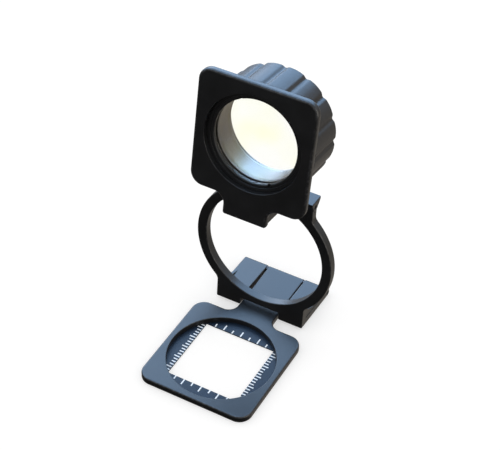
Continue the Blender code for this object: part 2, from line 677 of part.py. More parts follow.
black_enamel = new_material("black_enamel", (0.030, 0.031, 0.034), 0.42, 0.25)
knob_black = new_material("knob_black", (0.045, 0.046, 0.050), 0.38, 0.35)
scale_blue = new_material("scale_blue", (0.055, 0.075, 0.11), 0.40, 0.2)
steel = new_material("steel", (0.12, 0.12, 0.13), 0.30, 1.0)
brass = new_material("brass", (0.70, 0.52, 0.22), 0.35, 1.0)
nylon = new_material("nylon", (0.75, 0.74, 0.70), 0.55, 0.0)
satin_aluminium = new_material("satin_aluminium", (0.30, 0.28, 0.26), 0.40, 1.0)
glass = new_material("glass", (0.97, 0.98, 0.93), 0.02, 0.0, 1.0)

BASE_AXIS_Y = TONGUE_END_Y - HINGE_END_RADIUS
base_hinge = new_empty("base_hinge_axis", (0.0, BASE_AXIS_Y, BASE_AXIS_HEIGHT), -UPRIGHT_LEAN)
head_hinge = new_empty(
    "head_hinge_axis",
    (0.0, HEAD_AXIS_Y - FOOT_AXIS_Y, HEAD_AXIS_HEIGHT - BASE_AXIS_HEIGHT),
    -HEAD_TILT, base_hinge)
optics = new_empty(
    "optical_axis",
    (0.0, -HEAD_AXIS_BACK, HEAD_AXIS_DROP + HEAD_HEIGHT / 2.0),
    math.radians(-90.0), head_hinge)

make_base()
make_upright()
make_lens_plate()
make_barrel()
make_focus_ring()
make_lens_carriage()
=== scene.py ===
"""Looks of the folding jeweller's loupe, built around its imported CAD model.

Pieces are made in millimetres in one of four local frames and then set in place:
  base     x right, y rearward, z up, from the underside at the middle of the rear shoulder
  upright  the same axes, from the front bottom edge of the ring frame, leaning with it
  head     the same axes, from the front lower edge of the lens plate, tilted with it
  optics   z rearward along the optical axis, from the lens plate's front face
"""
import json
import math

import bmesh
import bpy
from mathutils import Matrix, Vector
from mathutils.geometry import tessellate_polygon


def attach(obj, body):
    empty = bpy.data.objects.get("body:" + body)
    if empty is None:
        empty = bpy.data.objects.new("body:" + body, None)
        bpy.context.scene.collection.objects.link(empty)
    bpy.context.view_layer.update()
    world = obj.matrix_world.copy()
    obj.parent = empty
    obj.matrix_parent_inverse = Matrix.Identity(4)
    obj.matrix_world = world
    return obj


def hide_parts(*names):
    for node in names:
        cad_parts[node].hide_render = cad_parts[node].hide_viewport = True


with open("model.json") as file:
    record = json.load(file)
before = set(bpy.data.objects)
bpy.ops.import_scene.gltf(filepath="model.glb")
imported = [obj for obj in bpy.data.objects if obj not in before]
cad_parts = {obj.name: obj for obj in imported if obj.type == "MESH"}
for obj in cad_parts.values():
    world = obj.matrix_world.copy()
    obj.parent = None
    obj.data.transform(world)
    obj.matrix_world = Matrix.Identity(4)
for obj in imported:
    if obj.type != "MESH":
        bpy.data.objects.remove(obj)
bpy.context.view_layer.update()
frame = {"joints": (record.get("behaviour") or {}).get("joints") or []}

MM = 0.001
TURN = 2.0 * math.pi

# Base, in mm
BASE_HALF = 20.0
BASE_LENGTH = 40.3
BASE_THICKNESS = 2.54
PLATE_CORNER = 4.5
SHOULDER_FILLET = 3.6
TONGUE_HALF = 6.9
TONGUE_END = 26.4
KNUCKLE_RADIUS = 1.25
WINDOW_Y = -20.1
WINDOW_HALF = 12.7
RECESS_RADIUS = 18.0
SEAT_RADIUS = 19.05
SEAT_DEPTH = 0.55
SCALE_RADIUS = 19.0
SCALE_LOW = 0.05
SCALE_HIGH = 0.50
SCALE_EDGE = 0.04
KNUCKLE_OVERLAP = 1.2

# Divisions round the window, in mm: tick sizes are (short, long, width)
INCH = 25.4
SIDE_DIVISIONS = 20
END_DIVISIONS = 8
SIDE_TICK = (1.45, 2.0, 0.42)
END_TICK = (1.35, 2.3, 0.46)
TICK_GAP = 0.04
TICK_RISE = 0.03
TICK_TOP_SHARE = 0.8

# Upright ring frame, in mm; sections are (rearward, up), with a corner radius in the gusset's
RING_HEIGHT = 26.8
RING_INNER = 21.3
RING_OUTER = 24.67
RING_DEPTH = 3.08
UPRIGHT_HEIGHT = 53.1
BLOCK_HALF = 16.3
BLOCK_FILLET = 3.0
FOOT_THICKNESS = 2.75
GUSSET_INNER = 14.9
GUSSET_OUTER = 16.1
GUSSET_SECTION = ((1.54, 2.25, 0.0), (16.08, 2.25, 0.0), (5.28, 4.15, 8.0), (1.54, 9.25, 0.0))
FOOT_AXIS = (19.65, 1.35)
FOOT_END = 20.95
TONGUE_SLOT_HALF = 7.3
TONGUE_SLOT_ROOF = 2.8
ARM_SLOT_HALF = 8.05
LUG_HALF = 16.5
LUG_SECTION = ((1.54, 48.36), (3.08, 49.9), (4.9, 52.1), (4.9, 53.1), (-1.0, 53.1), (-1.0, 52.1),
               (0.0, 50.4))

# Hinges, in mm
PIN_RADIUS = 0.70
PIN_HALF = 16.1
PIN_CHAMFER = 0.16
PIN_CLEARANCE = 0.06
HINGE_END_RADIUS = 1.3
WASHER_BORE = 0.8
WASHER_RADIUS = 1.15
WASHER_NEAR = 0.1
WASHER_FAR = 0.3
WASHER_EASE = 0.04

# Head, in mm
HEAD_HEIGHT = 41.0
HEAD_THICKNESS = 2.5
NECK_HALF = 7.65
NECK_LENGTH = 7.0
NECK_CORNER = 0.9
ARM_HALF = 7.6
ARM_LOW = -5.85
ARM_HIGH = -2.55
ARM_END = 18.6
HEAD_AXIS = (16.9, -4.2)
BARREL_HOLE = 16.5
OPTICS_HEIGHT = 20.5

# Knob, in mm
KNOB_RADIUS = 19.4
KNOB_FRONT = 3.8
KNOB_REAR = 18.4
KNOB_BORE = 17.95
KNOB_LOBES = 16
KNOB_LOBE_STEPS = 26
KNOB_CROWN = 0.16
KNOB_EDGES = (0.62, 0.3)
GROOVE_DEPTH = 0.70
GROOVE_WIDTH = math.radians(2.9)

# Lens pair, in mm
LENS_RADIUS = 14.45
LENS_CURVE = 55.0
LENS_EDGE = 1.2
LENS_STEPS = 24
OBJECTIVE_FLAT = 5.6
EYE_FLAT = 12.6

# Sections of the turned parts, in mm: (radius, depth behind the lens plate's front face)
BARREL_SECTION = (
    (16.42, 1.9), (15.35, 1.9), (15.35, 3.4), (15.95, 3.4), (15.95, 15.6),
    (16.75, 15.6), (16.75, 3.6), (17.6, 3.6), (17.6, 2.55), (16.42, 2.55),
)
STOP_SECTION = ((15.30, 2.1), (14.38, 2.1), (14.1, 2.36), (14.1, 3.3), (15.30, 3.3))
KEEPER_SECTION = (
    (17.5, 16.5), (17.5, 15.7), (15.88, 15.7), (15.88, 14.9), (15.4, 14.9),
    (15.4, 15.3), (16.6, 16.7), (17.3, 16.7),
)
CELL_SECTION = ((15.88, 4.63), (15.10, 4.63), (15.10, 13.6), (15.88, 13.6))
SPACER_SECTION = ((15.05, 5.6), (14.5, 5.6), (14.5, 12.6), (15.05, 12.6))
OBJECTIVE_RING_SECTION = ((15.05, 4.65), (14.2, 4.65), (14.2, 5.58), (15.05, 5.58))
EYE_RING_SECTION = ((15.05, 12.62), (14.5, 12.62), (14.5, 13.58), (15.05, 13.58))
BAND_SECTION = ((17.3, 12.6), (16.85, 12.6), (16.85, 13.6), (17.3, 13.6))
SLEEVE_SECTION = (
    (17.9, 15.55), (17.9, 3.8), (16.85, 3.8), (16.85, 6.8), (17.5, 6.8), (17.5, 11.4),
    (16.85, 11.4), (16.85, 12.55), (17.35, 12.55), (17.35, 13.65), (16.85, 13.65),
    (16.85, 15.55),
)
BRIGHT_BORE = 16.5

# Spanner slots across the rings' rims: radius, lowest and highest depth, half width, turn
STOP_SLOTS = (14.1, 1.9, 2.75, 0.55, math.radians(64.0))
KEEPER_SLOTS = (16.9, 16.2, 17.0, 0.6, math.radians(20.0))
SPANNER_REACH = 0.9

# Radial screws and their holes, in mm: (radius, inner end, outer end, chamfer)
GUIDE_DEPTH = 9.1
GUIDE_COUNT = 3
GUIDE_STUD = (0.7, 15.45, 17.3, 0.12)
GUIDE_SLOT = ((-2.1, -0.8, 14.95), (2.1, 0.8, 17.75))
GRIP_DEPTH = 14.6
GRIP_COUNT = 2
GRIP_TURN = math.radians(46.4)
GRIP_HOLE = (0.75, 17.2, 20.4, 0.0)
GRIP_SCREW = (0.7, 17.25, 18.45, 0.1)
SOCKET_RADIUS = 0.36
SOCKET_DEPTH = 0.8
SOCKET_CUT = 0.5

LEAN = math.radians(-3.5)
TILT = math.radians(-5.7)

# Facets and edge rounding
ROUND_STEPS = 4
PLATE_EDGE = 0.32
HEAD_EDGE = 0.8
HOLE_EDGE = 0.12
BASE_EDGE = 0.55
RECESS_EDGE = 0.24
TURNED_EASE = 0.08
SHARP_ANGLE = math.radians(38.0)
FINE_TURN = 144
ROD_TURN = 48
STUD_TURN = 40
CORNER_STEPS = 14
JOIN = 1.0                      # how far a joined part reaches into the plate it is joined to
OVERCUT = 1.0                   # how far a cutter runs past the surface it opens


# ---------------------------------------------------------------- local frames

joints = {joint["name"]: joint for joint in frame["joints"]}


def hinge_frame(joint, angle, offset):
    """Place of a local frame that hangs from a hinge: its hinge axis lies at offset (y, z)."""
    at = Matrix.Translation(Vector(joints[joint]["pos_m"]))
    lean = Matrix.Rotation(angle, 4, "X")
    return at @ lean @ Matrix.Scale(MM, 4) @ Matrix.Translation((0.0, -offset[0], -offset[1]))


BASE = Matrix.Scale(MM, 4)
UPRIGHT = hinge_frame("base_hinge", LEAN, FOOT_AXIS)
HEAD = hinge_frame("head_hinge", LEAN + TILT, HEAD_AXIS)
OPTICS = (HEAD @ Matrix.Translation((0.0, 0.0, OPTICS_HEIGHT))
          @ Matrix.Rotation(math.radians(-90.0), 4, "X"))
FRONT_VIEW = Matrix(((1, 0, 0, 0), (0, 0, 1, 0), (0, 1, 0, 0), (0, 0, 0, 1)))
SIDE_VIEW = Matrix(((0, 0, 1, 0), (1, 0, 0, 0), (0, 1, 0, 0), (0, 0, 0, 1)))


# ---------------------------------------------------------------- outlines

def arc(centre, radius, start, end, steps):
    """Points on an arc, both ends included."""
    angles = [start + (end - start) * i / steps for i in range(steps + 1)]
    return [Vector((centre[0] + radius * math.cos(a), centre[1] + radius * math.sin(a)))
            for a in angles]


def circle(radius, steps=FINE_TURN, centre=(0.0, 0.0)):
    """Points of a closed circle."""
    return arc(centre, radius, 0.0, TURN, steps)[:-1]


def rounded(corners, steps=10):
    """Closed outline through corners (x, y, radius), each rounded by an arc."""
    points = []
    for i, (x, y, radius) in enumerate(corners):
        here = Vector((x, y))
        if radius == 0.0:
            points.append(here)
            continue
        back = (Vector(corners[i - 1][:2]) - here).normalized()
        ahead = (Vector(corners[(i + 1) % len(corners)][:2]) - here).normalized()
        half = back.angle(ahead) / 2.0
        centre = here + (back + ahead).normalized() * radius / math.sin(half)
        start = here + back * radius / math.tan(half) - centre
        sweep = -start.angle_signed(here + ahead * radius / math.tan(half) - centre)
        begin = math.atan2(start.y, start.x)
        points.extend(arc(centre, radius, begin, begin + sweep, steps))
    return points


def oriented(points, anticlockwise):
    """The outline run the given way round."""
    area = sum(points[i - 1].cross(points[i]) for i in range(len(points)))
    return points if (area > 0.0) == anticlockwise else points[::-1]


def inset(points, amount):
    """The closed outline moved to its left by amount."""
    moved = []
    for i, here in enumerate(points):
        back = (here - points[i - 1]).normalized()
        ahead = (points[(i + 1) % len(points)] - here).normalized()
        sides = Vector((-back.y, back.x)) + Vector((-ahead.y, ahead.x))
        moved.append(here + sides / (1.0 + back.dot(ahead)) * amount)
    return moved


# ---------------------------------------------------------------- meshes

def prism(outlines, low, high, edges, placement=Matrix()):
    """A plate from flat outlines (the first outside, the rest holes) with rounded edges."""
    mesh = bmesh.new()
    edge_wear_and_sheen = mesh.faces.layers.float.new("edge")
    flat = {-1: [], 1: []}
    caps = {-1: [], 1: []}
    for index, points in enumerate(outlines):
        points = oriented(points, index == 0)
        edge = edges[min(index, len(edges) - 1)]
        levels = []
        for i in range(ROUND_STEPS + 1):
            angle = i * math.pi / 2.0 / ROUND_STEPS
            levels.append((edge * (1.0 - math.sin(angle)), edge * (1.0 - math.cos(angle))))
        stack = [(amount, low + rise) for amount, rise in levels]
        stack += [(amount, high - rise) for amount, rise in reversed(levels)]
        rings = []
        for amount, z in stack:
            ring = inset(points, amount)
            rings.append([mesh.verts.new((p.x, p.y, z)) for p in ring])
            if len(rings) == 1:
                flat[-1].append([Vector((p.x, p.y, 0.0)) for p in ring])
        flat[1].append(flat[-1][-1])
        caps[-1] += rings[0]
        caps[1] += rings[-1]
        for level, (lower, upper) in enumerate(zip(rings, rings[1:])):
            for i in range(len(lower)):
                face = mesh.faces.new((lower[i - 1], lower[i], upper[i], upper[i - 1]))
                # rounding strips get 1: the enamel paints them brighter in patches, part edge wear
                # and part painted highlight along the rounded edges
                face[edge_wear_and_sheen] = 0.0 if level == ROUND_STEPS else 1.0
    for side in (-1, 1):
        for triangle in tessellate_polygon(flat[side]):
            mesh.faces.new([caps[side][i] for i in triangle])
    bmesh.ops.transform(mesh, matrix=placement, verts=mesh.verts)
    return mesh


def lathe(profile, soften=TURNED_EASE, steps=FINE_TURN, placement=Matrix()):
    """A turned piece: the closed profile (radius, z), its corners eased, run round z."""
    corners = []
    count = len(profile)
    for i, (radius, z) in enumerate(profile):
        here = Vector((radius, z))
        reach = min((here - Vector(profile[i - 1])).length,
                    (here - Vector(profile[(i + 1) % count])).length)
        ease = min(soften, 0.3 * reach) if radius > 0.0 else 0.0
        corners.append((radius, z, ease))
    section = rounded(corners, 3) if soften > 0.0 else [Vector(p) for p in profile]
    mesh = bmesh.new()
    mesh.faces.layers.float.new("edge")
    rings = []
    for point in section:
        if point.x < 1e-6:
            rings.append([mesh.verts.new((0.0, 0.0, point.y))] * steps)
            continue
        rings.append([mesh.verts.new((point.x * math.cos(TURN * i / steps),
                                      point.x * math.sin(TURN * i / steps), point.y))
                      for i in range(steps)])
    for j in range(len(rings)):
        for i in range(steps):
            corner = [rings[j - 1][i - 1], rings[j - 1][i], rings[j][i], rings[j][i - 1]]
            corner = list(dict.fromkeys(corner))
            if len(corner) > 2:
                mesh.faces.new(corner)
    bmesh.ops.transform(mesh, matrix=placement, verts=mesh.verts)
    return mesh


def box(low, high, placement=Matrix()):
    """A cutting box between two corners."""
    mesh = bmesh.new()
    mesh.faces.layers.float.new("edge")
    size = Vector(high) - Vector(low)
    middle = (Vector(high) + Vector(low)) / 2.0
    shape = placement @ Matrix.Translation(middle) @ Matrix.Diagonal((*size, 1.0))
    bmesh.ops.create_cube(mesh, size=1.0, matrix=shape)
    return mesh


def closed(mesh):
    """A data mesh from a bmesh, its normals pointing outward."""
    bmesh.ops.recalc_face_normals(mesh, faces=mesh.faces)
    data = bpy.data.meshes.new("work")
    mesh.to_mesh(data)
    mesh.free()
    return data


def carved(body, tools):
    """The body with each (operation, tool) worked into it in turn."""
    item = bpy.data.objects.new("work", closed(body))
    bpy.context.collection.objects.link(item)
    helpers = []
    for operation, tool in tools:
        helper = bpy.data.objects.new("tool", closed(tool))
        bpy.context.collection.objects.link(helper)
        helper.hide_render = True
        helpers.append(helper)
        modifier = item.modifiers.new(operation, "BOOLEAN")
        modifier.operation = operation
        modifier.solver = "EXACT"
        modifier.object = helper
    done = bpy.data.meshes.new_from_object(
        item.evaluated_get(bpy.context.evaluated_depsgraph_get()))
    for spare in [item, *helpers]:
        bpy.data.objects.remove(spare, do_unlink=True)
    mesh = bmesh.new()
    mesh.from_mesh(done)
    bmesh.ops.remove_doubles(mesh, verts=mesh.verts, dist=0.002)
    bmesh.ops.dissolve_degenerate(mesh, edges=mesh.edges, dist=0.001)
    return mesh


def piece(name, mesh, place, body, material, nodes):
    """Put a mesh in the scene as the stand-in for CAD nodes on a body."""
    bmesh.ops.recalc_face_normals(mesh, faces=mesh.faces)
    add_lathe_layer(mesh)
    bmesh.ops.transform(mesh, matrix=place, verts=mesh.verts)
    data = bpy.data.meshes.new(name)
    mesh.to_mesh(data)
    mesh.free()
    data.shade_smooth()
    data.set_sharp_from_angle(angle=SHARP_ANGLE)
    data.materials.append(material)
    item = bpy.data.objects.new(name, data)
    bpy.context.scene.collection.objects.link(item)
    even = item.modifiers.new("even_shading", "WEIGHTED_NORMAL")
    even.keep_sharp = True
    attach(item, body)
    if nodes:
        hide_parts(*nodes)
    return item


def add_lathe_layer(mesh):
    """Keep each point's radius and depth in its own frame, for marks left by turning."""
    layer = mesh.verts.layers.float_vector.new("lathe")
    for vert in mesh.verts:
        vert[layer] = (math.hypot(vert.co.x, vert.co.y), vert.co.z, 0.0)


# ---------------------------------------------------------------- materials

# Noise scales are per metre; a bump is (depth in metres, strength)
WIDE_SCALE = 110.0
MOTTLE_SCALE = 620.0
SPECK_SCALE = 900.0
METAL_SCALE = 140.0
GLASS_SCALE = 75.0
WIDE_BUMP = (0.00004, 0.4)
MOTTLE_BUMP = (0.000014, 0.5)
GRAIN_BUMP = (0.000012, 0.55)
PAINT_BUMP = (0.000008, 0.4)
CUT_STRENGTH = 0.5

# The part of a noise's range that is stretched over the whole effect
MIDDLE = (0.3, 0.7)
TONE = (0.35, 0.68)
# the next range and the limit pick the edge patches that are painted brighter: part wear, part
# painted highlight
WEAR_AND_SHEEN = (0.46, 0.66)
DRIFT = (0.40, 0.66)
WEAR_AND_SHEEN_LIMIT = 0.75
ROUGH_GRAIN = 0.05

GLASS_CLEAR = (1.0, 1.0, 0.995)
GLASS_STRAW = (1.0, 1.0, 0.93)
GLASS_SHEEN = (0.75, 0.80, 0.95)
GLASS_GLOSS = 0.04
GLASS_IOR = 1.20
GLASS_RIM = (0.5, 0.1)          # mm inside the edge, where the sheen fades out


class Shader:
    """A node material built in code."""

    def __init__(self, name):
        self.material = bpy.data.materials.new(name)
        self.material.use_nodes = True
        self.tree = self.material.node_tree
        self.main = self.tree.nodes["Principled BSDF"]
        self.out = self.tree.nodes["Material Output"]

    def add(self, kind, links=None, **values):
        """Add a node, set its plain properties and its sockets, and link the rest."""
        made = self.tree.nodes.new(f"ShaderNode{kind}")
        for key, value in values.items():
            setattr(made, key, value)
        for socket, source in (links or {}).items():
            self.feed(made.inputs[socket], source)
        return made

    def feed(self, socket, source):
        """Set a socket to a value, or link it to an output."""
        if isinstance(source, bpy.types.NodeSocket):
            self.tree.links.new(source, socket)
        else:
            socket.default_value = source

    def noise(self, vector, scale, detail=3.0, roughness=0.55):
        """Noise in 0 to 1."""
        return self.add("TexNoise", {"Vector": vector, "Scale": scale, "Detail": detail,
                                     "Roughness": roughness}).outputs["Fac"]

    def ramp(self, value, low, high, to_low, to_high):
        """The value stretched from one range to another, and held inside it."""
        return self.add("MapRange", {"Value": value, "From Min": low, "From Max": high,
                                     "To Min": to_low, "To Max": to_high}).outputs["Result"]

    def blend(self, factor, first, second):
        """Colour between two."""
        mix = self.add("Mix", data_type="RGBA")
        self.feed(mix.inputs[0], factor)
        self.feed(mix.inputs[6], first)
        self.feed(mix.inputs[7], second)
        return mix.outputs[2]

    def multiply(self, first, second):
        """Product of two values."""
        return self.add("Math", {0: first, 1: second}, operation="MULTIPLY").outputs[0]

    def uneven(self, fine, wide, low, high):
        """Roughness that drifts between two values, with a fine variation on top."""
        parts = {0: self.ramp(fine, *MIDDLE, -ROUGH_GRAIN, ROUGH_GRAIN),
                 1: self.ramp(wide, *MIDDLE, low, high)}
        return self.add("Math", parts, operation="ADD").outputs[0]

    def bump(self, layers):
        """Normal from heights: (height, distance in metres, strength), coarse to fine."""
        normal = None
        for height, distance, strength in layers:
            links = {"Height": height, "Distance": distance, "Strength": strength}
            if normal is not None:
                links["Normal"] = normal
            normal = self.add("Bump", links).outputs["Normal"]
        self.feed(self.main.inputs["Normal"], normal)

    def settle(self, **sockets):
        """Set sockets of the main shader by name."""
        for name, value in sockets.items():
            self.feed(self.main.inputs[name.replace("_", " ")], value)
        return self.material


def coloured(red, green, blue):
    """A colour socket value."""
    return (red, green, blue, 1.0)


def enamel(name, dark, pale, worn_and_sheen, rough, grain, specular):
    """Satin enamel: fine grain, faint uneven tone, and rounded edges painted a little brighter in
    patches, part wear and part painted highlight.
    """
    shader = Shader(name)
    place = shader.add("TexCoord").outputs["Object"]
    edge = shader.add("Attribute", attribute_name="edge").outputs["Fac"]
    wide = shader.noise(place, WIDE_SCALE, 4.0)
    fine = shader.noise(place, grain, 2.0, 0.6)
    speck = shader.noise(place, SPECK_SCALE, 3.0, 0.7)
    tone = shader.blend(shader.ramp(wide, *TONE, 0.0, 1.0), dark, pale)
    # brighter rounded edges in patches: part wear, part painted highlight
    rub_and_sheen = shader.multiply(edge, shader.ramp(speck, *WEAR_AND_SHEEN, 0.0, WEAR_AND_SHEEN_LIMIT))
    colour = shader.blend(rub_and_sheen, tone, worn_and_sheen)
    uneven = shader.uneven(fine, wide, rough - 0.03, rough + 0.04)
    mottle = shader.noise(place, MOTTLE_SCALE, 3.0, 0.6)
    shader.bump([(wide, *WIDE_BUMP), (mottle, *MOTTLE_BUMP), (fine, *GRAIN_BUMP)])
    return shader.settle(Base_Color=colour, Roughness=uneven, Specular_IOR_Level=specular)


def metal(name, dark, pale, rough, lines, depth):
    """Turned metal: fine rings left by the tool over a soft uneven tone."""
    shader = Shader(name)
    place = shader.add("TexCoord").outputs["Object"]
    section = shader.add("Attribute", attribute_name="lathe").outputs["Vector"]
    cut = shader.noise(section, lines, 2.0, 0.6)
    wide = shader.noise(place, METAL_SCALE, 3.0)
    colour = shader.blend(shader.ramp(cut, *MIDDLE, 0.0, 1.0), dark, pale)
    uneven = shader.uneven(cut, wide, rough - 0.04, rough + 0.05)
    shader.bump([(cut, depth, CUT_STRENGTH)])
    return shader.settle(Base_Color=colour, Roughness=uneven, Metallic=1.0)


def paint(name, dark, pale, rough, grain):
    """Matt paint or moulded nylon with a fine grain."""
    shader = Shader(name)
    place = shader.add("TexCoord").outputs["Object"]
    fine = shader.noise(place, grain, 3.0, 0.6)
    colour = shader.blend(shader.ramp(fine, *TONE, 0.0, 1.0), dark, pale)
    shader.bump([(fine, *PAINT_BUMP)])
    return shader.settle(Base_Color=colour, Roughness=rough)


def coated_glass(name):
    """Clear lens glass with a faint straw tint and a soft sheen from its coating."""
    shader = Shader(name)
    place = shader.add("TexCoord").outputs["Object"]
    drift = shader.ramp(shader.noise(place, GLASS_SCALE, 2.0, 0.4), *DRIFT, 0.0, 1.0)
    tint = shader.blend(drift, coloured(*GLASS_CLEAR), coloured(*GLASS_STRAW))
    clear = shader.add("BsdfTransparent", {"Color": tint}).outputs[0]
    sheen = shader.add("BsdfGlossy", {"Color": coloured(*GLASS_SHEEN),
                                      "Roughness": GLASS_GLOSS}).outputs[0]
    facing = shader.add("Fresnel", {"IOR": GLASS_IOR}).outputs[0]
    section = shader.add("Attribute", attribute_name="lathe").outputs["Vector"]
    radius = shader.add("SeparateXYZ", {0: section}).outputs[0]
    inner = shader.ramp(radius, LENS_RADIUS - GLASS_RIM[0], LENS_RADIUS - GLASS_RIM[1], 1.0, 0.0)
    share = shader.multiply(facing, inner)
    body = shader.add("MixShader", {0: share, 1: clear, 2: sheen}).outputs[0]
    shader.tree.nodes.remove(shader.main)
    shader.tree.links.new(body, shader.out.inputs["Surface"])
    return shader.material


# the third colour of each enamel is its brighter edge colour: worn paint and painted highlight
# together
BLACK = enamel("black_enamel", coloured(0.0055, 0.0055, 0.0060), coloured(0.0080, 0.0080, 0.0086),
               coloured(0.045, 0.046, 0.050), 0.38, 5200.0, 0.42)
KNOB_BLACK = enamel("knob_black", coloured(0.010, 0.010, 0.011), coloured(0.015, 0.015, 0.016),
                    coloured(0.060, 0.060, 0.064), 0.42, 6400.0, 0.37)
SCALE_BLUE = enamel("scale_blue", coloured(0.004, 0.009, 0.018), coloured(0.006, 0.013, 0.026),
                    coloured(0.03, 0.04, 0.06), 0.42, 5200.0, 0.22)
TICK_WHITE = paint("tick_white", coloured(0.80, 0.88, 0.94), coloured(0.90, 0.94, 0.97),
                   0.55, 4000.0)
STEEL = metal("steel", coloured(0.09, 0.09, 0.10), coloured(0.14, 0.14, 0.15), 0.34, 9.0, 0.000006)
BRASS = metal("brass", coloured(0.60, 0.43, 0.17), coloured(0.72, 0.54, 0.24), 0.34, 9.0, 0.000006)
ALUMINIUM = metal("satin_aluminium", coloured(0.25, 0.235, 0.215), coloured(0.32, 0.30, 0.275),
                  0.44, 7.0, 0.000004)
NYLON = paint("nylon", coloured(0.66, 0.65, 0.60), coloured(0.76, 0.75, 0.70), 0.55, 2500.0)
GLASS = coated_glass("glass")


# ---------------------------------------------------------------- base

def make_base():
    """Base plate with its recess and tongue, the scale plate and its divisions."""
    half, end = BASE_HALF, TONGUE_END - KNUCKLE_RADIUS
    outline = rounded([
        (-half, -BASE_LENGTH, PLATE_CORNER),
        (half, -BASE_LENGTH, PLATE_CORNER),
        (half, 0.0, PLATE_CORNER),
        (TONGUE_HALF, 0.0, SHOULDER_FILLET),
        (TONGUE_HALF, end, 0.0),
        (-TONGUE_HALF, end, 0.0),
        (-TONGUE_HALF, 0.0, SHOULDER_FILLET),
        (-half, 0.0, PLATE_CORNER),
    ], CORNER_STEPS)
    recess = circle(RECESS_RADIUS, FINE_TURN, (0.0, WINDOW_Y))
    plate = prism([outline, recess], 0.0, BASE_THICKNESS, (BASE_EDGE, RECESS_EDGE))
    knuckle = rounded([
        (end - KNUCKLE_OVERLAP, 0.0, 0.0),
        (TONGUE_END, 0.0, KNUCKLE_RADIUS),
        (TONGUE_END, BASE_THICKNESS, KNUCKLE_RADIUS),
        (end - KNUCKLE_OVERLAP, BASE_THICKNESS, 0.0),
    ])
    to_window = Matrix.Translation((0.0, WINDOW_Y, 0.0))
    seat = lathe([(0.0, -OVERCUT), (SEAT_RADIUS, -OVERCUT), (SEAT_RADIUS, SEAT_DEPTH),
                  (0.0, SEAT_DEPTH)], 0.0, FINE_TURN, to_window)
    done = carved(plate, [
        ("UNION", prism([knuckle], -TONGUE_HALF, TONGUE_HALF, (PLATE_EDGE,), SIDE_VIEW)),
        ("DIFFERENCE", seat),
    ])
    piece("base_body", done, BASE, "base", BLACK, ["base_plate"])

    side = WINDOW_HALF
    window = [Vector(p) for p in ((-side, -side), (side, -side), (side, side), (-side, side))]
    disc = prism([circle(SCALE_RADIUS), window], SCALE_LOW, SCALE_HIGH, (SCALE_EDGE,), to_window)
    piece("scale_disc", disc, BASE, "base", SCALE_BLUE, ["scale_plate"])

    ticks = bmesh.new()
    ticks.faces.layers.float.new("edge")
    near = side + TICK_GAP
    for sign in (-1.0, 1.0):
        short, long, width = SIDE_TICK
        for k in range(1, SIDE_DIVISIONS):
            far = near + (long if k % 4 == 2 else short)
            along = -side + k * INCH / SIDE_DIVISIONS
            add_tick(ticks, (sign * near, along), (sign * far, along), width)
        short, long, width = END_TICK
        for k in range(1, END_DIVISIONS):
            far = near + (long if k % 2 == 0 else short)
            along = -side + k * INCH / END_DIVISIONS
            add_tick(ticks, (along, sign * near), (along, sign * far), width)
    bmesh.ops.transform(ticks, matrix=to_window, verts=ticks.verts)
    piece("scale_divisions", ticks, BASE, "base", TICK_WHITE, [])


def add_tick(mesh, start, end, width):
    """A filled division line, a low bar with sloped sides, from the window's edge outward."""
    start, end = Vector(start), Vector(end)
    side = (end - start).normalized().orthogonal() * width / 2.0
    low, high = SCALE_HIGH - TICK_RISE, SCALE_HIGH + TICK_RISE
    rings = []
    for z, share in ((low, 1.0), (high - TICK_RISE / 2.0, 1.0), (high, TICK_TOP_SHARE)):
        reach = side * share
        corners = (start - reach, start + reach, end + reach, end - reach)
        rings.append([mesh.verts.new((p.x, p.y, z)) for p in corners])
    for lower, upper in zip(rings, rings[1:]):
        for i in range(4):
            mesh.faces.new((lower[i - 1], lower[i], upper[i], upper[i - 1]))
    mesh.faces.new(rings[0])
    mesh.faces.new(rings[-1])


# ---------------------------------------------------------------- upright

def frame_outline():
    """Front view of the upright: an open ring with a block at the bottom and two lugs."""
    reach = RING_OUTER + BLOCK_FILLET
    fillet_x = BLOCK_HALF + BLOCK_FILLET
    drop = math.sqrt(reach ** 2 - fillet_x ** 2)
    tangent = math.atan2(drop, fillet_x)
    low = (fillet_x, RING_HEIGHT - drop)
    high = (fillet_x, RING_HEIGHT + drop)
    centre = (0.0, RING_HEIGHT)
    opening = math.acos(ARM_SLOT_HALF / RING_INNER)
    ease = PLATE_EDGE
    right = [Vector((0.0, TONGUE_SLOT_ROOF))]
    right += arc((TONGUE_SLOT_HALF - ease, TONGUE_SLOT_ROOF - ease), ease, math.pi / 2, 0.0, 3)
    right += arc((TONGUE_SLOT_HALF + ease, ease), ease, math.pi, 1.5 * math.pi, 3)
    right += arc((BLOCK_HALF - ease, ease), ease, -math.pi / 2, 0.0, 3)
    right += arc(low, BLOCK_FILLET, math.pi, math.pi - tangent, 8)
    right += arc(centre, RING_OUTER, -tangent, tangent, 44)[1:-1]
    right += arc(high, BLOCK_FILLET, math.pi + tangent, math.pi, 8)
    right += arc((BLOCK_HALF - ease, UPRIGHT_HEIGHT - ease), ease, 0.0, math.pi / 2, 3)
    right += arc((ARM_SLOT_HALF + ease, UPRIGHT_HEIGHT - ease), ease, math.pi / 2, math.pi, 3)
    right += arc(centre, RING_INNER, opening, -math.pi / 2, 88)
    left = [Vector((-p.x, p.y)) for p in reversed(right[1:-1])]
    return right + left


